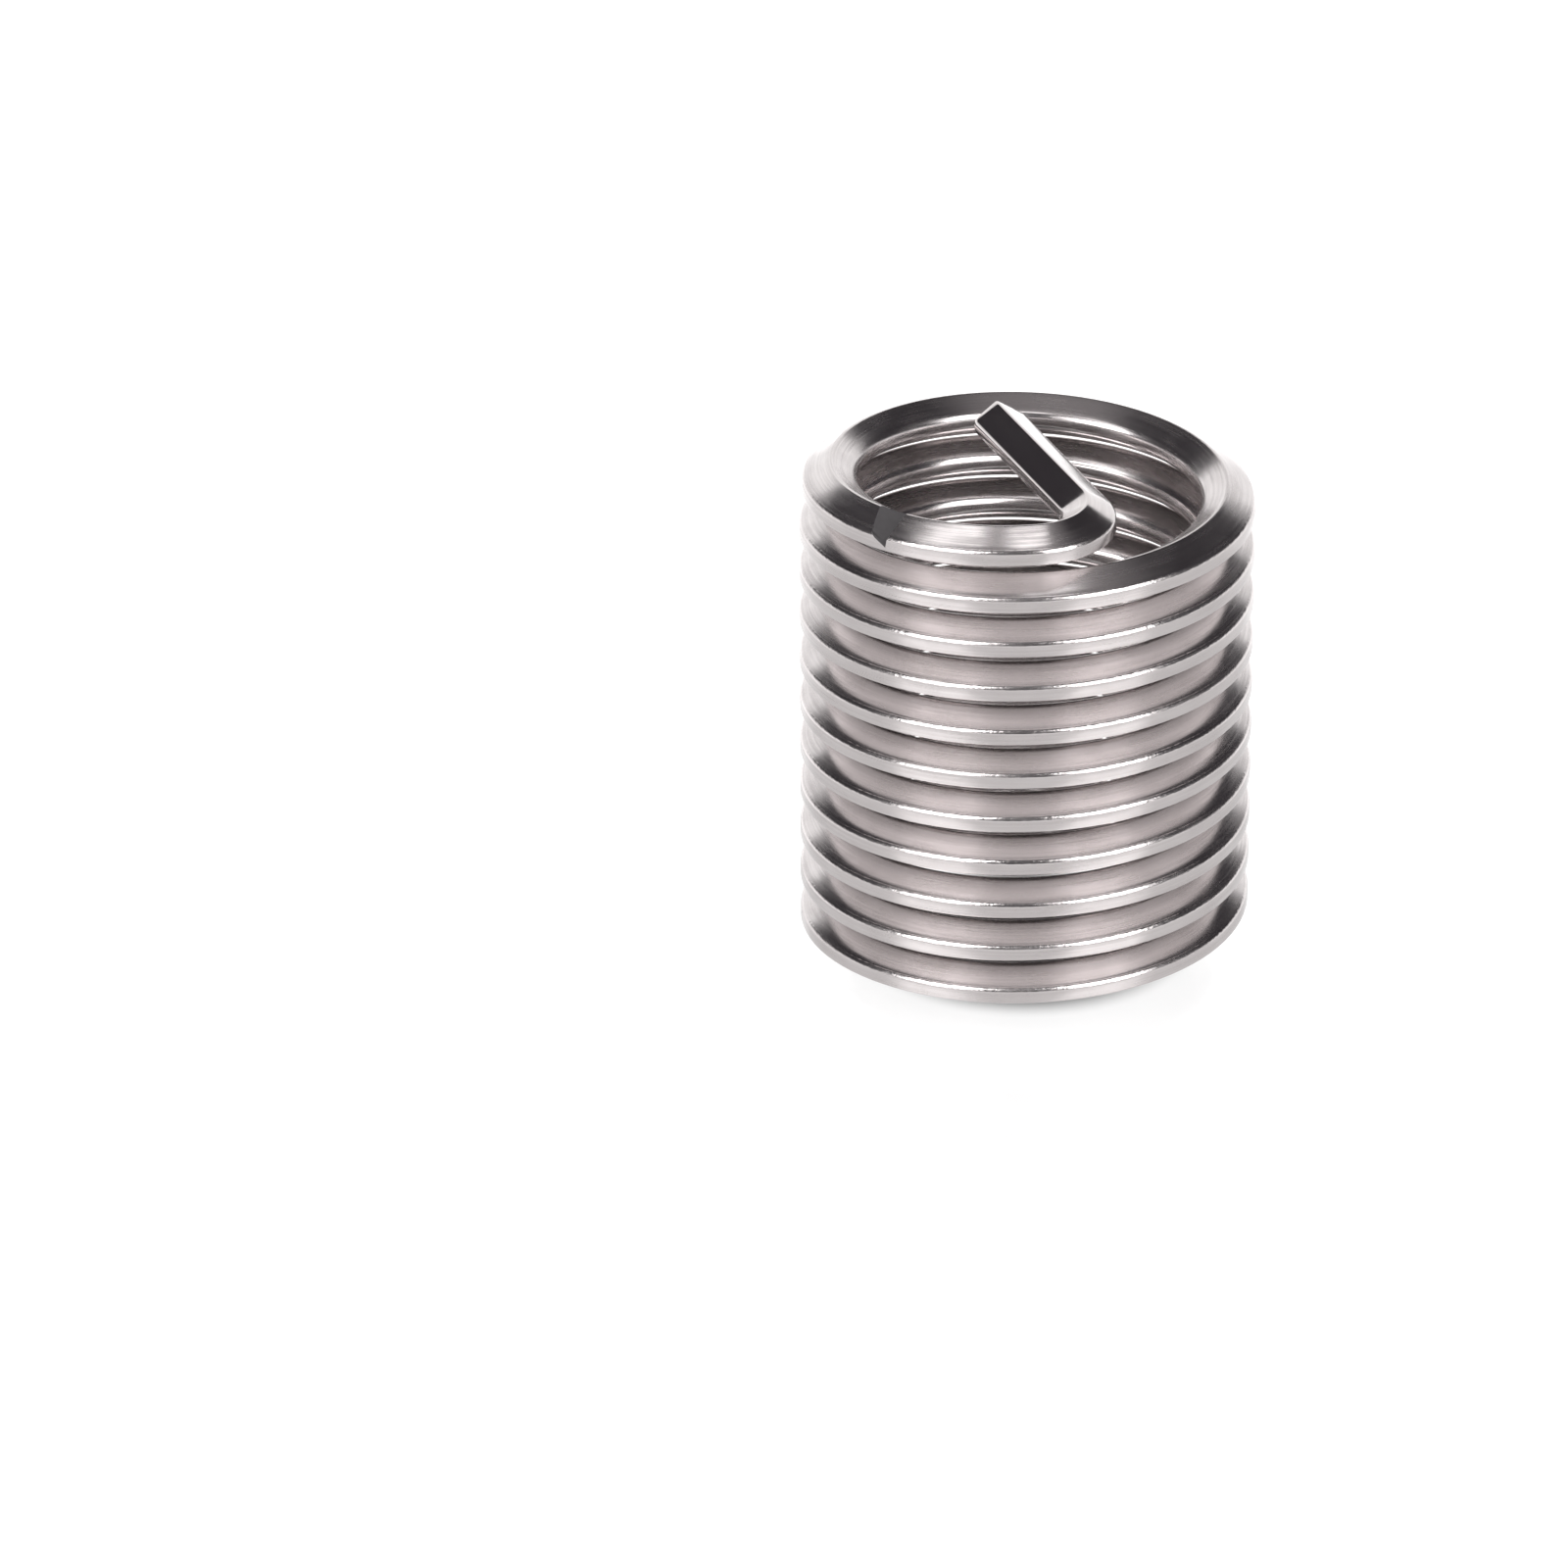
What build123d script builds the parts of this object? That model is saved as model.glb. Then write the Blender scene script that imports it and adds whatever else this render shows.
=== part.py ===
"""Helical thread insert for an M10 x 1.25 screw, 15 mm long once fitted, in its free state.

One length of rolled diamond wire is wound into a right-hand coil. At the top the wire
turns in across the bore as the driving tang, and a notch marks where the tang snaps off.
The coil's axis is Z, and the plain end stands on Z = 0.
"""
from build123d import *
from dataclasses import dataclass
import math
import os

# ---- Driving dimensions: millimetres and degrees -------------------------------------
pitch = 1.25              # rise of one turn, which is the pitch of both threads
turns = 10                # full turns of the rolled coil
ridge_radius = 5.264      # axis to the ridges, the two sharp edges that face the next turns
turn_gap = 0.102          # open gap between the ridges of two turns
flank_angle = 30          # slope of each flank, half of a 60 degree thread
outer_crest = 0.27        # flat of the wire on the outer thread
inner_crest = 0.35        # flat of the wire on the thread inside
notch_azimuth = -130      # where the tang snaps off, seen from above

closing_inset = 0.05      # the last stretch before the notch is wound this much tighter
closing_angle = 180       # turn of that stretch, which helps the insert into its hole
tang_coil_inset = 0.544   # the stretch past the notch is this much tighter than the coil
tang_coil_angle = 44      # turn of that stretch
bend_radius = 1.5         # radius of the ridge line where the wire bends in to the tang
bend_angle = 107.2        # turn of the bend
tip_clearance = 2.08      # from the ridge line at the tang's tip to the bore, on a radius
tip_lean = 12             # lean of the cut at the tip, which leaves the lower edge shorter

notch_drop = 20           # fall of the notch's root line towards the outside
coil_wall_lean = 66       # lean of the notch's long wall, on the coil's side
tang_wall_lean = 12       # lean of its steep wall, on the tang's side

links_per_turn = 4        # the rolled coil is laid up from links of equal turn

# ---- Sizes that follow ---------------------------------------------------------------
flank_slope = math.tan(math.radians(flank_angle))
half_height = (pitch - turn_gap) / 2
outer_reach = (half_height - outer_crest / 2) / flank_slope
inner_reach = (half_height - inner_crest / 2) / flank_slope
outer_radius = ridge_radius + outer_reach
bore_radius = ridge_radius - inner_reach
lead = pitch / (2 * math.pi * ridge_radius)
coil_height = pitch * turns
link_count = math.ceil(turns * links_per_turn)
link_angle = 360 * turns / link_count
coil_end_azimuth = notch_azimuth - closing_angle


def polar(radius, azimuth):
    """The level vector of a length towards an azimuth in degrees."""
    angle = math.radians(azimuth)
    return Vector(radius * math.cos(angle), radius * math.sin(angle), 0)


def section(radius, outer_flat=outer_crest, inner_flat=inner_crest):
    """The wire's section on the XZ plane, with its ridges at a radius from the Z axis.

    The flanks keep their slope, and a flat of zero leaves that side of the diamond sharp.
    """
    outer = radius + (half_height - outer_flat / 2) / flank_slope
    inner = radius - (half_height - inner_flat / 2) / flank_slope
    upper = [(outer, 0, outer_flat / 2), (radius, 0, half_height), (inner, 0, inner_flat / 2)]
    lower = [(x, y, -z) for x, y, z in reversed(upper) if z > 0]
    return make_face(Polyline(*upper, *lower, close=True)).face()


def wound(profile, radius, angle):
    """The profile wound through an angle about the Z axis, rising with the wire's lead."""
    rise_of_turn = 2 * math.pi * radius * lead
    path = Helix(rise_of_turn, rise_of_turn * angle / 360, radius)
    return Solid.sweep(profile, Wire([path]), is_frenet=True)


def crest_ring():
    """The ring between the two crests, with its seams on the side away from the link."""
    outline = Wire([Edge.make_circle(outer_radius)])
    bore = Wire([Edge.make_circle(bore_radius)])
    below = Location((0, 0, -pitch), (0, 0, link_angle / 2 + 180))
    return Solid.extrude(Face(outline, [bore]), Vector(0, 0, 3 * pitch)).moved(below)


def rolled_coil():
    """The coil's links: a sharp diamond is wound, rolled to both crests and repeated."""
    sharp = wound(section(ridge_radius, 0, 0), ridge_radius, link_angle)
    link = sharp.intersect(crest_ring())[0]
    rise = coil_height / link_count
    start = coil_end_azimuth - 360 * turns
    return [
        link.moved(Location((0, 0, half_height + rise * i), (0, 0, start + link_angle * i)))
        for i in range(link_count)
    ]


@dataclass(frozen=True)
class Stretch:
    """An arc of wire: the foot of its axis, the azimuth it starts at, its radius and turn."""

    foot: Vector
    azimuth: float
    radius: float
    angle: float

    @property
    def end_azimuth(self):
        return self.azimuth + self.angle

    @property
    def end_foot(self):
        return self.foot + Vector(0, 0, lead * self.radius * math.radians(self.angle))

    def end_point(self, reach=0):
        """The middle of the wire where the stretch ends, or a point further out there."""
        return self.end_foot + polar(self.radius + reach, self.end_azimuth)

    def then(self, radius, angle):
        """The next stretch, which leaves this one without a kink."""
        foot = self.end_foot + polar(self.radius - radius, self.end_azimuth)
        return Stretch(foot, self.end_azimuth, radius, angle)

    def solid(self):
        return wound(section(self.radius), self.radius, self.angle).moved(
            Location(self.foot, (0, 0, self.azimuth))
        )


def tang_bar(bend):
    """The straight bar that runs on from the bend over the bore, with its leaning tip."""
    heading = polar(1, bend.end_azimuth + 90)
    run = heading + Vector(0, 0, lead)
    start = bend.end_point()
    level = Vector(start.X, start.Y)
    beside = level.dot(heading)
    tip_radius = bore_radius - tip_clearance
    length = math.sqrt(beside**2 - level.dot(level) + tip_radius**2) - beside
    profile = section(bend.radius).moved(Location(bend.end_foot, (0, 0, bend.end_azimuth)))
    bar = Solid.extrude(profile, run * (length + half_height))
    lean = math.radians(tip_lean)
    facing = heading * math.cos(lean) - Vector(0, 0, math.sin(lean))
    top_of_tip = start + run * length + Vector(0, 0, half_height)
    return bar.split(Plane(origin=top_of_tip, z_dir=facing), keep=Keep.BOTTOM)


def notch_cutter(closing):
    """The wedge that cuts the notch, its root line rising inwards from the crest's foot."""
    height = 2 * half_height
    wedge = make_face(Polyline(
        (0, 0),
        (height * math.tan(math.radians(tang_wall_lean)), height),
        (-height * math.tan(math.radians(coil_wall_lean)), height),
        close=True,
    )).face()
    crest_foot = closing.end_point(outer_reach) - Vector(0, 0, outer_crest / 2)
    drop = math.radians(notch_drop)
    root = polar(math.cos(drop), closing.end_azimuth) - Vector(0, 0, math.sin(drop))
    outside = crest_foot + root * half_height
    frame = Plane(
        origin=outside, x_dir=polar(1, closing.end_azimuth + 90), z_dir=root
    )
    length = half_height + outer_reach + inner_reach
    return Solid.extrude(frame.from_local_coords(wedge), root * -length)


def coiled_wire():
    """The whole insert, which is one piece of wire."""
    coil_top = Vector(0, 0, half_height + coil_height)
    rolled = Stretch(coil_top, coil_end_azimuth, ridge_radius, 0)
    closing = rolled.then(ridge_radius - closing_inset, closing_angle)
    tang_coil = closing.then(ridge_radius - tang_coil_inset, tang_coil_angle)
    bend = tang_coil.then(bend_radius, bend_angle)
    first, *rest = rolled_coil()
    whole = first.fuse(*rest, closing.solid(), tang_coil.solid(), bend.solid(), tang_bar(bend))
    return whole.cut(notch_cutter(closing))


os.makedirs("parts", exist_ok=True)
export_step(coiled_wire(), "parts/coiled_wire.step")
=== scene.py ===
"""Dresses the helical thread insert: one length of rolled stainless wire, coiled and cut.

The wire's section is drawn once, spun and extruded along the whole insert, and notched
where the tang snaps off. Sizes of the insert are in millimetres until its mesh is placed.
"""
from __future__ import annotations

import logging
import math
from dataclasses import dataclass, field
from enum import Enum

import bmesh
import bpy
from mathutils import Matrix, Vector

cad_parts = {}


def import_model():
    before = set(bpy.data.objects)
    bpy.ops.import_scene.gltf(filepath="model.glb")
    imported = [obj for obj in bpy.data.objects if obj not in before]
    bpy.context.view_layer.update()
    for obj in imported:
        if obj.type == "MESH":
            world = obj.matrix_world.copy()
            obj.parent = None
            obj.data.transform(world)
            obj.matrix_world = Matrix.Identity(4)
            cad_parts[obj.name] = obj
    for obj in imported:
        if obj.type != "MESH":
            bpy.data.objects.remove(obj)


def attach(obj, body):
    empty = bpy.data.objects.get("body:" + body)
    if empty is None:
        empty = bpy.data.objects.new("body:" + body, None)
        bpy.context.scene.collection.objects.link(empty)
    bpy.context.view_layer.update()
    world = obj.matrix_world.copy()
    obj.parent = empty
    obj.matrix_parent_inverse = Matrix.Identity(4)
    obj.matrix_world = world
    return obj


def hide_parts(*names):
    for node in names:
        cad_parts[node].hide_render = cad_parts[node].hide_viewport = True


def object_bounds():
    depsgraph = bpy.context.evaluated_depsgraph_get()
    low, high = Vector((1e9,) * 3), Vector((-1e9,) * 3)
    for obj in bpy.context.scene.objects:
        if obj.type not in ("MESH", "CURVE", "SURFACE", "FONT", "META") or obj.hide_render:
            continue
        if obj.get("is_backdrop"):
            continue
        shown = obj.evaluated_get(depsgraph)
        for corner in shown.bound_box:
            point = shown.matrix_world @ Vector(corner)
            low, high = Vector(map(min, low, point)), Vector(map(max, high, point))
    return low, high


LOG = logging.getLogger("thread_insert")
MM = 0.001
BODY = "root"
WIRE_NODE = "coiled_wire"
UP = Vector((0.0, 0.0, 1.0))
FULL_TURN = 360.0
QUARTER_TURN = 90.0

# The mesh carries two values of its own: each point's place in the wire, as length along
# it, distance outwards and height, and a mark on the faces that a shear has left.
WIRE_PLACE = "wire"
SHEARED = "sheared"
SHEARED_FROM = 0.5

# Tolerances in millimetres, from the finest to the coarsest.
UPRIGHT_TOLERANCE = 1e-6
CUT_TOLERANCE = 1e-5
ROOT_TOLERANCE = 1e-4
WELD_DISTANCE = 1e-3


def level(radius: float, azimuth: float) -> Vector:
    """Give a level vector from its length and its azimuth in degrees.

    Args:
        radius: Length of the vector.
        azimuth: Direction in degrees, anticlockwise from the X axis.

    Returns:
        The vector, with no height.
    """
    angle = math.radians(azimuth)
    return Vector((radius * math.cos(angle), radius * math.sin(angle), 0.0))


class Corner(Enum):
    """The kinds of corner on the wire's section, each with how far its rounding reaches."""

    OUTER_TOP = 0.095
    OUTER_FOOT = 0.030
    RIDGE = 0.020
    INNER = 0.150


@dataclass(frozen=True)
class WireSection:
    """The rolled diamond: four flanks, a crest on each side, and a flat land on each ridge."""

    half_height: float = 0.574
    flank_angle: float = 30.0
    outer_crest: float = 0.27
    inner_crest: float = 0.35
    round_segments: int = 4
    flank_cuts: int = 4
    crest_cuts: int = 1
    flank_over_crest: float = 1.5
    crest_spread: float = 0.045
    crest_drop: float = 0.055
    upper_land: float = 0.06
    lower_land: float = 0.20

    def reach(self, crest: float) -> float:
        """Give the distance from the ridges out to a crest of this height."""
        return (self.half_height - crest / 2) / math.tan(math.radians(self.flank_angle))

    @property
    def outer_reach(self) -> float:
        """Distance from the ridges to the crest of the outer thread."""
        return self.reach(self.outer_crest)

    @property
    def inner_reach(self) -> float:
        """Distance from the ridges to the crest of the thread inside."""
        return self.reach(self.inner_crest)

    def corners(self) -> list[tuple[Corner, float, float]]:
        """List the corners as kind, distance outwards and height, in turn round the section.

        Returns:
            Eight corners, from the top of the outer crest over the upper ridge.
        """
        out, into = self.outer_reach, -self.inner_reach
        inner_top = self.inner_crest / 2
        half_crest = self.outer_crest / 2 + self.crest_spread
        return [
            (Corner.OUTER_TOP, out, half_crest - self.crest_drop),
            (Corner.RIDGE, self.upper_land / 2, self.half_height),
            (Corner.RIDGE, -self.upper_land / 2, self.half_height),
            (Corner.INNER, into, inner_top),
            (Corner.INNER, into, -inner_top),
            (Corner.RIDGE, -self.lower_land / 2, -self.half_height),
            (Corner.RIDGE, self.lower_land / 2, -self.half_height),
            (Corner.OUTER_FOOT, out, -half_crest - self.crest_drop),
        ]

    def draw(self, mesh: bmesh.types.BMesh, place: Matrix) -> list[bmesh.types.BMEdge]:
        """Draw the section as a ring of edges, with rounded corners.

        Args:
            mesh: The mesh that gets the ring, in millimetres.
            place: Where the section's own X, out of the coil, and Z, up, lie.

        Returns:
            The ring's edges.
        """
        local = mesh.verts.layers.float_vector.new(WIRE_PLACE)
        corners = self.corners()
        points = [mesh.verts.new((out, 0.0, height)) for _, out, height in corners]
        mesh.faces.new(points)
        for kind in Corner:
            chosen = [point for point, (own, _, _) in zip(points, corners) if own is kind]
            bmesh.ops.bevel(
                mesh, geom=chosen, offset=kind.value, offset_type="OFFSET",
                segments=self.round_segments, profile=0.5, affect="VERTICES", material=-1,
                clamp_overlap=True,
            )
        bmesh.ops.delete(mesh, geom=mesh.faces[:], context="FACES_ONLY")
        shortest = self.flank_over_crest * self.outer_crest
        flanks = [edge for edge in mesh.edges if edge.calc_length() > shortest]
        bmesh.ops.subdivide_edges(mesh, edges=flanks, cuts=self.flank_cuts)
        crests = [
            edge for edge in mesh.edges
            if abs((edge.verts[0].co - edge.verts[1].co).x) < UPRIGHT_TOLERANCE
        ]
        bmesh.ops.subdivide_edges(mesh, edges=crests, cuts=self.crest_cuts)
        for vert in mesh.verts:
            vert[local] = (0.0, vert.co.x, vert.co.z)
        bmesh.ops.transform(mesh, matrix=place, verts=mesh.verts[:])
        return mesh.edges[:]


@dataclass(frozen=True)
class Arc:
    """An arc of wire: the foot of its axis, where it starts, its radius and its turn."""

    foot: Vector
    azimuth: float
    radius: float
    turn: float

    @property
    def end_azimuth(self) -> float:
        """Azimuth at which the arc ends."""
        return self.azimuth + self.turn

    def end_foot(self, lead: float) -> Vector:
        """Give the point on the arc's axis level with its end."""
        return self.foot + UP * (lead * self.radius * math.radians(self.turn))

    def end_point(self, lead: float, reach: float = 0.0) -> Vector:
        """Give the wire's middle at the arc's end, or a point further out there."""
        return self.end_foot(lead) + level(self.radius + reach, self.end_azimuth)

    def then(self, lead: float, radius: float, turn: float) -> Arc:
        """Start the next arc where this one ends, without a kink.

        Args:
            lead: Rise of the wire over its level length.
            radius: Radius of the next arc.
            turn: Its turn in degrees.

        Returns:
            The next arc.
        """
        foot = self.end_foot(lead) + level(self.radius - radius, self.end_azimuth)
        return Arc(foot, self.end_azimuth, radius, turn)


@dataclass(frozen=True)
class Notch:
    """The cut at which the tang snaps off: two leaning walls that meet in a root line."""

    drop: float = 20.0
    coil_wall_lean: float = 66.0
    tang_wall_lean: float = 12.0
    middle_depth: float = 0.8
    span: float = 1.9

    def cut(self, mesh: bmesh.types.BMesh, crest_foot: Vector, azimuth: float) -> None:
        """Cut the notch into the wire's mesh and close its two walls.

        Args:
            mesh: The wire's mesh, in millimetres.
            crest_foot: The foot of the outer crest where the root line comes out.
            azimuth: Azimuth of that point in degrees.
        """
        fall = math.radians(self.drop)
        root = level(math.cos(fall), azimuth) - UP * math.sin(fall)
        along = level(1.0, azimuth + QUARTER_TURN)
        rise = root.cross(along)
        coil_lean = math.radians(self.coil_wall_lean)
        tang_lean = math.radians(self.tang_wall_lean)
        coil_wall = along * math.cos(coil_lean) + rise * math.sin(coil_lean)
        tang_wall = rise * math.sin(tang_lean) - along * math.cos(tang_lean)
        middle = crest_foot - root * self.middle_depth
        for wall in (coil_wall, tang_wall):
            faces = [f for f in mesh.faces if (f.calc_center_median() - middle).length < self.span]
            edges = {edge for face in faces for edge in face.edges}
            verts = {vert for face in faces for vert in face.verts}
            bmesh.ops.bisect_plane(
                mesh, geom=[*verts, *edges, *faces], dist=CUT_TOLERANCE,
                plane_co=crest_foot, plane_no=wall,
            )

        def depth(point: Vector) -> float:
            """Give how far a point lies inside the cut, below zero outside it."""
            return min((point - crest_foot).dot(coil_wall), (point - crest_foot).dot(tang_wall))

        inside = [
            face for face in mesh.faces
            if (face.calc_center_median() - middle).length < self.span
            and depth(face.calc_center_median()) > 0
        ]
        bmesh.ops.delete(mesh, geom=inside, context="FACES")
        rim = [
            edge for edge in mesh.edges
            if len(edge.link_faces) == 1 and (edge.verts[0].co - middle).length < self.span
        ]
        mouths = {
            vert for edge in rim for vert in edge.verts
            if abs((vert.co - crest_foot).dot(coil_wall)) < ROOT_TOLERANCE
            and abs((vert.co - crest_foot).dot(tang_wall)) < ROOT_TOLERANCE
        }
        LOG.info(
            "notch: %d faces out, rim of %d edges, %d mouths", len(inside), len(rim), len(mouths)
        )
        self.close(mesh, rim, sorted(mouths, key=lambda vert: vert.co.dot(root)))

    @staticmethod
    def close(
        mesh: bmesh.types.BMesh,
        rim: list[bmesh.types.BMEdge],
        mouths: list[bmesh.types.BMVert],
    ) -> None:
        """Close the cut's walls, one face each, with the root line between them.

        Args:
            mesh: The wire's mesh.
            rim: The open edges round the cut.
            mouths: The two ends of the root line.
        """
        start, end = mouths[0], mouths[-1]
        sheared = mesh.faces.layers.float[SHEARED]
        loose = set(rim)
        for first in [edge for edge in rim if start in edge.verts]:
            loop = [start]
            edge = first
            while loop[-1] is not end:
                loose.discard(edge)
                loop.append(edge.other_vert(loop[-1]))
                onward = [other for other in loop[-1].link_edges if other in loose]
                if loop[-1] is not end:
                    edge = onward[0]
            wall = mesh.faces.new(loop)
            wall[sheared] = 1.0


@dataclass(frozen=True)
class CoiledWire:
    """The insert: a rolled coil, its closing half turn, the notch and the driving tang."""

    section: WireSection = field(default_factory=WireSection)
    notch: Notch = field(default_factory=Notch)
    pitch: float = 1.25
    turns: int = 10
    ridge_radius: float = 5.264
    notch_azimuth: float = -130.0
    closing_inset: float = 0.05
    closing_angle: float = 180.0
    tang_coil_inset: float = 0.544
    tang_coil_angle: float = 44.0
    bend_radius: float = 1.5
    bend_angle: float = 107.2
    tip_clearance: float = 2.08
    tip_lean: float = 12.0
    ring_turn: float = 3.75
    bend_ring_turn: float = 5.0
    bar_steps: int = 8
    end_round: float = 0.02
    end_segments: int = 2

    @property
    def lead(self) -> float:
        """Rise of the wire over its level length."""
        return self.pitch / (2 * math.pi * self.ridge_radius)

    def arcs(self) -> list[Arc]:
        """List the arcs of the wire from the plain end to the bar of the tang.

        Returns:
            The rolled coil, the closing stretch, the tang's coil and its bend.
        """
        start = self.notch_azimuth - self.closing_angle - FULL_TURN * self.turns
        foot = UP * self.section.half_height
        rolled = Arc(foot, start, self.ridge_radius, FULL_TURN * self.turns)
        closing = rolled.then(
            self.lead, self.ridge_radius - self.closing_inset, self.closing_angle
        )
        tang = closing.then(
            self.lead, self.ridge_radius - self.tang_coil_inset, self.tang_coil_angle
        )
        return [rolled, closing, tang, tang.then(self.lead, self.bend_radius, self.bend_angle)]

    def bar_start(self) -> float:
        """Give the length of wire up to the straight end of the tang."""
        return sum(arc.radius * math.radians(arc.turn) for arc in self.arcs())

    def open_start(self) -> float:
        """Give the length of wire up to the last turn, which has no turn above it."""
        bend = self.bend_radius * math.radians(self.bend_angle)
        return self.bar_start() - bend - 2 * math.pi * self.ridge_radius

    def wind(
        self, mesh: bmesh.types.BMesh, ring: list[bmesh.types.BMEdge], arc: Arc, travelled: float
    ) -> tuple[list[bmesh.types.BMEdge], float]:
        """Spin the ring of the section along one arc, a ring at a time.

        Args:
            mesh: The wire's mesh.
            ring: Edges of the last ring.
            arc: The arc that the wire follows.
            travelled: Length of wire up to the ring.

        Returns:
            Edges of the new last ring, and the length of wire up to it.
        """
        turn = self.bend_ring_turn if arc.radius < 2 * self.bend_radius else self.ring_turn
        steps = math.ceil(arc.turn / turn)
        angle = math.radians(arc.turn / steps)
        local = mesh.verts.layers.float_vector[WIRE_PLACE]
        for _ in range(steps):
            spun = bmesh.ops.spin(
                mesh, geom=ring, cent=arc.foot, axis=UP, dvec=UP * (self.lead * arc.radius * angle),
                angle=angle, steps=1, use_merge=False, use_duplicate=False,
            )["geom_last"]
            travelled += arc.radius * angle
            ring = [item for item in spun if isinstance(item, bmesh.types.BMEdge)]
            for vert in {vert for edge in ring for vert in edge.verts}:
                vert[local].x = travelled
        return ring, travelled

    def stack(
        self, mesh: bmesh.types.BMesh, turn_length: float
    ) -> tuple[list[bmesh.types.BMEdge], float]:
        """Repeat the one turn in the mesh up the coil and weld the turns to each other.

        Args:
            mesh: The wire's mesh, with the first turn of the coil in it.
            turn_length: Length of wire in that turn.

        Returns:
            Edges of the coil's last ring, and the length of wire up to it.
        """
        local = mesh.verts.layers.float_vector[WIRE_PLACE]
        turn = [*mesh.verts, *mesh.edges, *mesh.faces]
        for count in range(1, self.turns):
            copied = bmesh.ops.duplicate(mesh, geom=turn)["geom"]
            verts = [item for item in copied if isinstance(item, bmesh.types.BMVert)]
            bmesh.ops.translate(mesh, vec=UP * (self.pitch * count), verts=verts)
            for vert in verts:
                vert[local].x += turn_length * count
        seams = {vert for edge in mesh.edges if edge.is_boundary for vert in edge.verts}
        bmesh.ops.remove_doubles(mesh, verts=list(seams), dist=WELD_DISTANCE)
        travelled = turn_length * self.turns
        ring = [
            edge for edge in mesh.edges
            if edge.is_boundary and edge.verts[0][local].x > travelled - turn_length / 2
        ]
        return ring, travelled

    def run_out(
        self,
        mesh: bmesh.types.BMesh,
        ring: list[bmesh.types.BMEdge],
        bend: Arc,
        travelled: float,
    ) -> None:
        """Run the straight bar out over the bore and cut its leaning tip.

        Args:
            mesh: The wire's mesh.
            ring: Edges of the last ring of the bend.
            bend: The bend that the bar leaves.
            travelled: Length of wire up to the ring.
        """
        heading = level(1.0, bend.end_azimuth + QUARTER_TURN)
        run = heading + UP * self.lead
        start = bend.end_point(self.lead)
        beside = start.xy.dot(heading.xy)
        tip_radius = self.ridge_radius - self.section.inner_reach - self.tip_clearance
        length = math.sqrt(beside**2 - start.xy.dot(start.xy) + tip_radius**2) - beside
        stride = (length + self.section.half_height) / self.bar_steps
        local = mesh.verts.layers.float_vector[WIRE_PLACE]
        bar = []
        for _ in range(self.bar_steps):
            grown = bmesh.ops.extrude_edge_only(mesh, edges=ring)["geom"]
            bar += [item for item in grown if isinstance(item, bmesh.types.BMFace)]
            verts = [item for item in grown if isinstance(item, bmesh.types.BMVert)]
            ring = [item for item in grown if isinstance(item, bmesh.types.BMEdge)]
            ring = [edge for edge in ring if edge.verts[0] in verts and edge.verts[1] in verts]
            bmesh.ops.translate(mesh, vec=run * stride, verts=verts)
            travelled += stride
            for vert in verts:
                vert[local].x = travelled
        lean = math.radians(self.tip_lean)
        facing = heading * math.cos(lean) - UP * math.sin(lean)
        tip = start + run * length + UP * self.section.half_height
        edges = {edge for face in bar for edge in face.edges}
        verts = {vert for face in bar for vert in face.verts}
        bmesh.ops.bisect_plane(
            mesh, geom=[*verts, *edges, *bar], dist=CUT_TOLERANCE, plane_co=tip,
            plane_no=facing, clear_outer=True,
        )

    def cap_ends(self, mesh: bmesh.types.BMesh) -> None:
        """Close both ends of the wire and break their edges a little.

        Args:
            mesh: The wire's mesh, open at its two ends.
        """
        sheared = mesh.faces.layers.float[SHEARED]
        open_edges = [edge for edge in mesh.edges if edge.is_boundary]
        caps = bmesh.ops.holes_fill(mesh, edges=open_edges, sides=0)["faces"]
        rims = list({edge for cap in caps for edge in cap.edges})
        for cap in caps:
            cap[sheared] = 1.0
        LOG.info("ends: %d caps", len(caps))
        bmesh.ops.bevel(
            mesh, geom=rims, offset=self.end_round, offset_type="OFFSET",
            segments=self.end_segments, profile=0.5, affect="EDGES", material=-1,
            clamp_overlap=True,
        )

    def build(self) -> bpy.types.Object:
        """Build the wire's mesh and place it, in metres.

        Returns:
            The object, at the origin, unturned and unscaled.
        """
        mesh = bmesh.new()
        sheared = mesh.faces.layers.float.new(SHEARED)
        arcs = self.arcs()
        first = arcs[0]
        place = Matrix.Translation(first.foot + level(first.radius, first.azimuth))
        turned = Matrix.Rotation(math.radians(first.azimuth), 4, "Z")
        ring = self.section.draw(mesh, place @ turned)
        first_turn = Arc(first.foot, first.azimuth, first.radius, FULL_TURN)
        _, turn_length = self.wind(mesh, ring, first_turn, 0.0)
        ring, travelled = self.stack(mesh, turn_length)
        for arc in arcs[1:]:
            ring, travelled = self.wind(mesh, ring, arc, travelled)
        self.run_out(mesh, ring, arcs[-1], travelled)
        self.cap_ends(mesh)
        closing = arcs[1]
        crest_foot = closing.end_point(self.lead, self.section.outer_reach)
        crest_foot -= UP * (self.section.outer_crest / 2)
        self.notch.cut(mesh, crest_foot, closing.end_azimuth)
        bmesh.ops.recalc_face_normals(mesh, faces=mesh.faces[:])
        for face in mesh.faces:
            face.smooth = face[sheared] < SHEARED_FROM
        for edge in mesh.edges:
            edge.smooth = not any(face[sheared] > SHEARED_FROM for face in edge.link_faces)
        bmesh.ops.transform(mesh, matrix=Matrix.Scale(MM, 4), verts=mesh.verts[:])
        data = bpy.data.meshes.new("stainless_coil")
        mesh.to_mesh(data)
        mesh.free()
        piece = bpy.data.objects.new("stainless_coil", data)
        bpy.context.scene.collection.objects.link(piece)
        return piece


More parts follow.
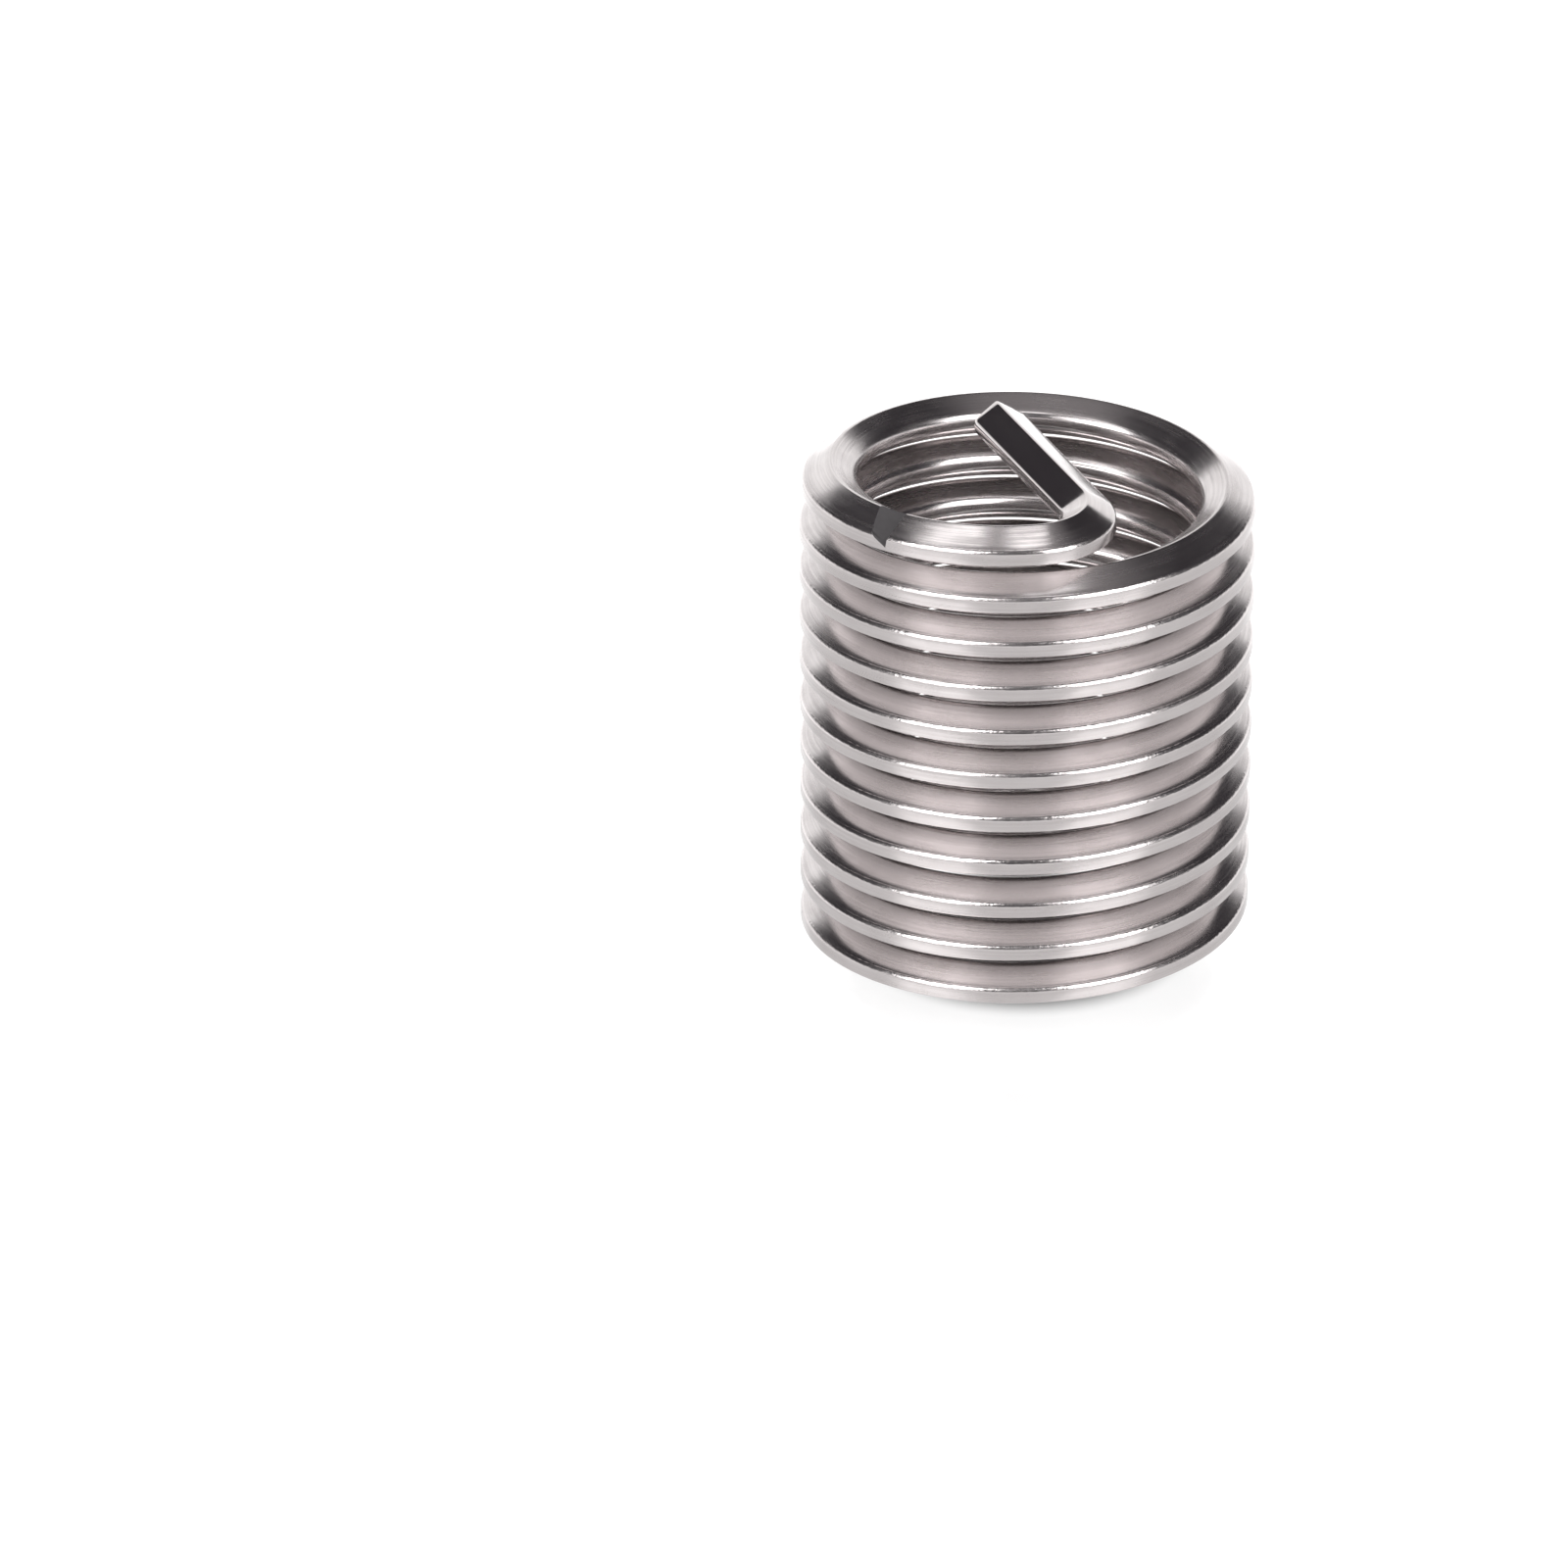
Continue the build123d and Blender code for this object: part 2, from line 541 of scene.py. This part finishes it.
class NodeBench:
    """A small helper that lays out the nodes of one material or world."""

    def __init__(self, tree: bpy.types.NodeTree) -> None:
        """Empty the node tree and keep it."""
        self.tree = tree
        tree.nodes.clear()

    def add(self, kind: str, **settings: object) -> bpy.types.Node:
        """Add a node.

        Args:
            kind: The node's type, without the leading ShaderNode.
            settings: Properties of the node.

        Returns:
            The node.
        """
        node = self.tree.nodes.new("ShaderNode" + kind)
        for name, value in settings.items():
            setattr(node, name, value)
        return node

    def join(self, source: bpy.types.NodeSocket, target: bpy.types.NodeSocket) -> None:
        """Link an output to an input."""
        self.tree.links.new(source, target)

    def feed(self, source: bpy.types.NodeSocket | float, target: bpy.types.NodeSocket) -> None:
        """Link an output to an input, or set the input to a number."""
        if isinstance(source, bpy.types.NodeSocket):
            self.join(source, target)
        else:
            target.default_value = source

    def sum(
        self, operation: str, first: bpy.types.NodeSocket | float,
        second: bpy.types.NodeSocket | float = 0.0, clamp: bool = False,
    ) -> bpy.types.NodeSocket:
        """Work out one sum.

        Args:
            operation: Name of the Math node's operation.
            first: Its first value.
            second: Its second value.
            clamp: Whether the result is kept between 0 and 1.

        Returns:
            The result's socket.
        """
        node = self.add("Math", operation=operation, use_clamp=clamp)
        self.feed(first, node.inputs[0])
        self.feed(second, node.inputs[1])
        return node.outputs[0]

    def spread(
        self, value: bpy.types.NodeSocket, low: float, high: float, to_low: float, to_high: float
    ) -> bpy.types.NodeSocket:
        """Map a value smoothly from one range to another.

        Args:
            value: The value.
            low: Start of its range.
            high: End of its range.
            to_low: Start of the new range.
            to_high: End of the new range.

        Returns:
            The mapped value's socket.
        """
        node = self.add("MapRange", interpolation_type="SMOOTHSTEP")
        self.join(value, node.inputs["Value"])
        for name, number in (
            ("From Min", low), ("From Max", high), ("To Min", to_low), ("To Max", to_high)
        ):
            node.inputs[name].default_value = number
        return node.outputs["Result"]

    def grain(
        self, place: bpy.types.NodeSocket, along: float, across: float, detail: float
    ) -> bpy.types.NodeSocket:
        """Lay noise in the wire's own space.

        Args:
            place: Place in the wire: length along it, outwards and up, in millimetres.
            along: Features per millimetre along the wire.
            across: Features per millimetre across it.
            detail: Octaves of noise.

        Returns:
            The noise's socket.
        """
        stretch = self.add("Mapping", vector_type="POINT")
        stretch.inputs["Scale"].default_value = (along, across, across)
        self.join(place, stretch.inputs["Vector"])
        noise = self.add("TexNoise", noise_dimensions="3D")
        noise.inputs["Scale"].default_value = 1.0
        noise.inputs["Detail"].default_value = detail
        self.join(stretch.outputs["Vector"], noise.inputs["Vector"])
        return noise.outputs["Fac"]


@dataclass(frozen=True)
class RolledSteel:
    """Bright rolled stainless steel, with drawing lines along the wire, fine pits, and painted
    shade on the outer crest and in the grooves under a turn.

    Places across the wire are in millimetres outwards from its ridges. Grains give the
    features per millimetre along and across the wire, and the octaves.
    """

    bright: tuple[float, float, float] = (0.71, 0.67, 0.667)
    dull: tuple[float, float, float] = (0.60, 0.56, 0.557)
    sheared: tuple[float, float, float] = (0.15, 0.143, 0.147)
    line_grain: tuple[float, float, float] = (0.25, 18.0, 3.0)
    mottle_grain: tuple[float, float, float] = (0.8, 1.6, 2.0)
    pit_grain: tuple[float, float, float] = (9.0, 12.0, 1.0)
    mottle_share: float = 0.5
    dull_tone: float = 0.32
    bright_tone: float = 0.64
    crest_foot: float = 0.76
    # Painted shade on the outer crest: its colour is dimmed to this share.
    crest_shade: float = 0.76
    crest_edge: float = 0.02
    # Painted shade in the grooves under a turn: their colour falls to this share near the ridges.
    groove_shade: float = 0.76
    groove_side: tuple[float, float] = (0.05, 0.50)
    open_blend: float = 2.0
    smoothest: float = 0.17
    roughest: float = 0.30
    rough_tones: tuple[float, float] = (0.3, 0.7)
    sheared_roughness: float = 0.12
    bar_polish: float = 0.50
    bar_blend: float = 2.5
    line_depth: float = 0.00035 * MM
    line_fade: tuple[float, float] = (0.18, 0.06)
    pit_depth: float = 0.006 * MM
    pits_begin: tuple[float, float] = (0.66, 0.69)
    pits_end: tuple[float, float] = (0.750, 0.759)

    def make(self, open_start: float, bar_start: float) -> bpy.types.Material:
        """Make the material.

        Args:
            open_start: Length of wire, in millimetres, up to the turn with none above it.
            bar_start: Length of wire, in millimetres, up to the straight end of the tang.

        Returns:
            The material.
        """
        steel = bpy.data.materials.new("rolled_stainless")
        steel.use_nodes = True
        bench = NodeBench(steel.node_tree)
        output = bench.add("OutputMaterial")
        shader = bench.add("BsdfPrincipled")
        shader.inputs["Metallic"].default_value = 1.0
        place = bench.add("Attribute", attribute_name=WIRE_PLACE).outputs["Vector"]
        parts = bench.add("SeparateXYZ")
        bench.join(place, parts.inputs[0])
        along, outwards = parts.outputs["X"], parts.outputs["Y"]
        cut = bench.add("Attribute", attribute_name=SHEARED).outputs["Fac"]
        lines = bench.grain(place, *self.line_grain)
        mottle = bench.grain(place, *self.mottle_grain)
        tone = bench.sum(
            "ADD", bench.sum("MULTIPLY", lines, 1.0 - self.mottle_share),
            bench.sum("MULTIPLY", mottle, self.mottle_share),
        )
        polish = bench.spread(
            along, bar_start - self.bar_blend, bar_start, 1.0, 1.0 - self.bar_polish
        )
        # Painted shade: grooves with a turn above them are darkened, and so is the outer crest.
        covered = bench.spread(along, open_start - self.open_blend, open_start, 1.0, 0.0)
        dimmed = bench.add("VectorMath", operation="SCALE")
        bench.join(self.lay_colour(bench, tone, cut), dimmed.inputs[0])
        bench.join(self.shade(bench, outwards, covered), dimmed.inputs["Scale"])
        bench.join(dimmed.outputs[0], shader.inputs["Base Color"])
        rough = bench.spread(tone, *self.rough_tones, self.roughest, self.smoothest)
        bench.join(
            bench.sum(
                "ADD", bench.sum("MULTIPLY", rough, polish),
                bench.sum("MULTIPLY", cut, self.sheared_roughness),
            ),
            shader.inputs["Roughness"],
        )
        pits = bench.grain(place, *self.pit_grain)
        bench.join(
            self.score(bench, outwards, lines, pits, polish), shader.inputs["Normal"]
        )
        bench.join(shader.outputs["BSDF"], output.inputs["Surface"])
        return steel

    def lay_colour(
        self, bench: NodeBench, tone: bpy.types.NodeSocket, cut: bpy.types.NodeSocket
    ) -> bpy.types.NodeSocket:
        """Lay the steel's colour, from dull to bright, and the grey of the sheared faces.

        Args:
            bench: The material's nodes.
            tone: How bright the rolled surface is here.
            cut: 1 on a sheared face and 0 elsewhere.

        Returns:
            The colour's socket.
        """
        ramp = bench.add("ValToRGB")
        for stop, position, colour in zip(
            ramp.color_ramp.elements, (self.dull_tone, self.bright_tone), (self.dull, self.bright)
        ):
            stop.position = position
            stop.color = (*colour, 1.0)
        bench.join(tone, ramp.inputs["Fac"])
        mix = bench.add("Mix", data_type="RGBA")
        bench.join(cut, mix.inputs["Factor"])
        rolled, sheared = [socket for socket in mix.inputs if socket.type == "RGBA"]
        bench.join(ramp.outputs["Color"], rolled)
        sheared.default_value = (*self.sheared, 1.0)
        return [socket for socket in mix.outputs if socket.type == "RGBA"][0]

    def shade(
        self, bench: NodeBench, outwards: bpy.types.NodeSocket, covered: bpy.types.NodeSocket
    ) -> bpy.types.NodeSocket:
        """Paint shade into the colour: darken the outer crest, and the grooves where a turn lies
        above them.

        Args:
            bench: The material's nodes.
            outwards: Place across the wire.
            covered: 1 where a turn lies above and 0 on the last turn.

        Returns:
            The socket of the factor on the colour.
        """
        # Painted shade: the outer crest's colour is dimmed.
        crest = bench.spread(
            outwards, self.crest_foot - self.crest_edge, self.crest_foot, 1.0, self.crest_shade
        )
        # Painted shade in the grooves where a turn lies above, darkest near the ridges.
        side = bench.sum("ABSOLUTE", outwards)
        deep = bench.spread(side, *self.groove_side, 1.0 - self.groove_shade, 0.0)
        groove = bench.sum("SUBTRACT", 1.0, bench.sum("MULTIPLY", deep, covered))
        return bench.sum("MULTIPLY", crest, groove)

    def score(
        self, bench: NodeBench, outwards: bpy.types.NodeSocket, lines: bpy.types.NodeSocket,
        pits: bpy.types.NodeSocket, polish: bpy.types.NodeSocket,
    ) -> bpy.types.NodeSocket:
        """Score the drawing lines into the flanks, and pit the corner below the crest.

        Args:
            bench: The material's nodes.
            outwards: Place across the wire.
            lines: Height of the drawing lines.
            pits: Height of the pits.
            polish: Share of the lines' height that is left here.

        Returns:
            The normal's socket.
        """
        fade_start, fade_end = (self.crest_foot - below for below in self.line_fade)
        crest = bench.spread(outwards, fade_start, fade_end, 0.0, 1.0)
        fade = bench.sum("MULTIPLY", bench.sum("SUBTRACT", 1.0, crest), polish)
        scratch = bench.add("Bump")
        scratch.inputs["Distance"].default_value = self.line_depth
        bench.join(bench.sum("MULTIPLY", lines, fade), scratch.inputs["Height"])
        corner = bench.sum(
            "MULTIPLY", bench.spread(outwards, *self.pits_begin, 0.0, 1.0),
            bench.spread(outwards, *self.pits_end, 1.0, 0.0),
        )
        pitted = bench.add("Bump")
        pitted.inputs["Distance"].default_value = self.pit_depth
        bench.join(bench.sum("MULTIPLY", pits, corner), pitted.inputs["Height"])
        bench.join(scratch.outputs["Normal"], pitted.inputs["Normal"])
        return pitted.outputs["Normal"]


@dataclass(frozen=True)
class Lamp:
    """A soft box that faces the insert: its bearing, its size and its radiance."""

    name: str
    azimuth: float
    elevation: float
    distance: float
    width: float
    height: float
    radiance: float

    def hang(self, centre: Vector) -> None:
        """Hang the soft box.

        Args:
            centre: The point that it faces.
        """
        data = bpy.data.lights.new(self.name, "AREA")
        data.shape = "RECTANGLE"
        data.size = self.width
        data.size_y = self.height
        data.energy = self.radiance * math.pi * self.width * self.height
        lamp = bpy.data.objects.new(self.name, data)
        bpy.context.scene.collection.objects.link(lamp)
        rise = math.radians(self.elevation)
        away = level(math.cos(rise), self.azimuth) + UP * math.sin(rise)
        lamp.location = centre + away * self.distance
        lamp.rotation_euler = away.to_track_quat("Z", "Y").to_euler()


@dataclass(frozen=True)
class Studio:
    """The white table, the room's light and the soft boxes."""

    lamps: tuple[Lamp, ...] = (
        Lamp("front_left_box", -139.5, 35.0, 0.50, 0.32, 0.36, 4.7),
        Lamp("front_right_box", -49.5, 35.0, 0.50, 0.32, 0.36, 4.7),
        Lamp("left_card", 178.0, 71.5, 0.0393, 0.007, 0.0115, 1.7),
        Lamp("right_card", -67.0, 85.0, 0.0374, 0.0086, 0.006, 1.7),
    )
    table_size: float = 3.0
    table_white: tuple[float, float, float] = (0.8, 0.8, 0.8)
    table_colour: tuple[float, float, float] = (0.12, 0.118, 0.118)
    table_gloss: float = 0.17
    gloss_blur: float = 0.18
    table_glow: float = 0.87
    # Shares of the insert's radius over which the painted shadow under it fades out.
    painted_shadow_shares: tuple[float, float] = (0.55, 0.80)
    far_glow: float = 0.35
    glow_behind: tuple[float, float] = (0.002, 0.030)
    glow_away: tuple[float, float] = (0.06, 0.30)
    room_white: tuple[float, float, float] = (1.0, 1.0, 1.0)
    room_dark: tuple[float, float, float] = (0.035, 0.032, 0.036)
    room_ceiling: tuple[float, float, float] = (0.22, 0.21, 0.215)
    room_heights: tuple[float, float, float, float] = (0.10, 0.24, 0.86, 0.975)
    back_edge: tuple[float, float] = (0.72, 0.82)
    back_rise: float = 0.42
    back_gain: float = 1.15
    gain_edge: tuple[float, float] = (0.30, 0.75)

    def lay_table(self, underside: float, footprint: float) -> None:
        """Lay the white table under the insert.

        Args:
            underside: Height at which the insert stands.
            footprint: Radius of the insert.
        """
        mesh = bmesh.new()
        bmesh.ops.create_grid(mesh, x_segments=1, y_segments=1, size=self.table_size)
        bmesh.ops.translate(mesh, vec=UP * underside, verts=mesh.verts[:])
        data = bpy.data.meshes.new("table")
        mesh.to_mesh(data)
        mesh.free()
        table = bpy.data.objects.new("table", data)
        bpy.context.scene.collection.objects.link(table)
        data.materials.append(self.paint_table(footprint))
        table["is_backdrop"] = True

    def paint_table(self, footprint: float) -> bpy.types.Material:
        """Make the table's finish: plain white to the light, and a pale glow to the eye.

        Args:
            footprint: Radius of the insert, under which the table does not glow, which paints the
                insert's shadow.

        Returns:
            The material.
        """
        white = bpy.data.materials.new("white_table")
        white.use_nodes = True
        bench = NodeBench(white.node_tree)
        output = bench.add("OutputMaterial")
        paths = bench.add("LightPath")
        seen = bench.sum("ADD", paths.outputs["Is Camera Ray"], paths.outputs["Is Glossy Ray"])
        clear = bench.sum("ADD", seen, paths.outputs["Is Transmission Ray"], clamp=True)
        plain = bench.add("BsdfDiffuse")
        plain.inputs["Color"].default_value = (*self.table_white, 1.0)
        shaded = bench.add("BsdfDiffuse")
        shaded.inputs["Color"].default_value = (*self.table_colour, 1.0)
        gloss = bench.add("BsdfGlossy")
        gloss.inputs["Color"].default_value = (*[self.table_gloss] * 3, 1.0)
        gloss.inputs["Roughness"].default_value = self.gloss_blur
        glow = bench.add("Emission")
        bench.join(self.spread_glow(bench, footprint), glow.inputs["Strength"])
        polished = bench.add("AddShader")
        both = bench.add("AddShader")
        mix = bench.add("MixShader")
        bench.join(shaded.outputs[0], polished.inputs[0])
        bench.join(gloss.outputs[0], polished.inputs[1])
        bench.join(polished.outputs[0], both.inputs[0])
        bench.join(glow.outputs[0], both.inputs[1])
        bench.join(clear, mix.inputs["Fac"])
        bench.join(plain.outputs[0], mix.inputs[1])
        bench.join(both.outputs[0], mix.inputs[2])
        bench.join(mix.outputs[0], output.inputs["Surface"])
        return white

    def spread_glow(self, bench: NodeBench, footprint: float) -> bpy.types.NodeSocket:
        """Spread the table's glow: none under the insert, which paints the insert's shadow there,
        and more behind it and far away.

        Args:
            bench: The table's nodes.
            footprint: Radius of the insert.

        Returns:
            The socket of the glow's strength.
        """
        point = bench.add("TexCoord").outputs["Object"]
        distance = bench.add("VectorMath", operation="LENGTH")
        bench.join(point, distance.inputs[0])
        place = bench.add("SeparateXYZ")
        bench.join(point, place.inputs[0])
        # Painted shadow: the glow is left out under the insert and fades in towards its rim.
        foot, clear = (footprint * share for share in self.painted_shadow_shares)
        near = bench.spread(distance.outputs["Value"], foot, clear, 0.0, self.table_glow)
        behind = bench.spread(place.outputs["Y"], *self.glow_behind, 0.0, self.far_glow)
        away = bench.spread(distance.outputs["Value"], *self.glow_away, 0.0, self.far_glow)
        return bench.sum("ADD", bench.sum("MAXIMUM", behind, away), near)

    def fill_room(self) -> None:
        """Light the room: white round the horizon and far up at the back, dim overhead."""
        world = bpy.data.worlds.new("room")
        world.use_nodes = True
        bpy.context.scene.world = world
        bench = NodeBench(world.node_tree)
        output = bench.add("OutputWorld")
        glow = bench.add("Background")
        split = bench.add("SeparateXYZ")
        bench.join(bench.add("TexCoord").outputs["Generated"], split.inputs[0])
        back = bench.spread(split.outputs["Y"], *self.back_edge, 0.0, self.back_rise)
        height = bench.sum("SUBTRACT", split.outputs["Z"], back)
        dome = bench.add("ValToRGB")
        dome.color_ramp.interpolation = "EASE"
        stops = dome.color_ramp.elements
        while len(stops) < len(self.room_heights):
            stops.new(0.5)
        for stop, position, colour in zip(
            stops, self.room_heights,
            (self.room_white, self.room_dark, self.room_dark, self.room_ceiling),
        ):
            stop.position = position
            stop.color = (*colour, 1.0)
        bench.join(height, dome.inputs["Fac"])
        bench.join(dome.outputs["Color"], glow.inputs["Color"])
        gain = bench.spread(split.outputs["Y"], *self.gain_edge, 1.0, self.back_gain)
        bench.join(gain, glow.inputs["Strength"])
        bench.join(glow.outputs[0], output.inputs["Surface"])

    def set_up(self, low: Vector, high: Vector) -> None:
        """Set up the table, the room and the soft boxes.

        Args:
            low: Lowest corner of the insert's box.
            high: Its highest corner.
        """
        self.lay_table(low.z, high.x)
        self.fill_room()
        for lamp in self.lamps:
            lamp.hang((low + high) / 2)
            LOG.info("soft box %s", lamp.name)
        bpy.context.scene.view_settings.view_transform = "Standard"


@dataclass(frozen=True)
class Viewpoint:
    """The camera: its lens, its tilt and where it stands from the insert's middle."""

    lens: float = 180.0
    elevation: float = 25.57
    roll: float = -0.36
    distance: float = 0.20898
    aside: float = 0.00644
    below: float = 0.00249
    near_clip: float = 0.01

    def stand(self, centre: Vector) -> None:
        """Stand the camera and make it the scene's own.

        Args:
            centre: Middle of the insert's box.
        """
        data = bpy.data.cameras.new("camera")
        data.lens = self.lens
        data.clip_start = self.near_clip
        camera = bpy.data.objects.new("camera", data)
        bpy.context.scene.collection.objects.link(camera)
        tilt = Matrix.Rotation(math.radians(QUARTER_TURN - self.elevation), 4, "X")
        turned = tilt @ Matrix.Rotation(math.radians(self.roll), 4, "Z")
        offset = turned @ Vector((-self.aside, -self.below, self.distance))
        camera.matrix_world = Matrix.Translation(centre + offset) @ turned
        bpy.context.scene.camera = camera


def main() -> None:
    """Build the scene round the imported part."""
    logging.basicConfig(level=logging.INFO, format="%(name)s: %(message)s")
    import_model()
    cad_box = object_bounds()
    low, high = Vector(cad_box[0]), Vector(cad_box[1])
    coil = CoiledWire()
    wire = coil.build()
    wire.data.materials.append(RolledSteel().make(coil.open_start(), coil.bar_start()))
    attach(wire, BODY)
    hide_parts(WIRE_NODE)
    LOG.info("stainless wire: %d faces", len(wire.data.polygons))
    Studio().set_up(low, high)
    Viewpoint().stand((low + high) / 2)


if __name__ == "__main__":
    main()
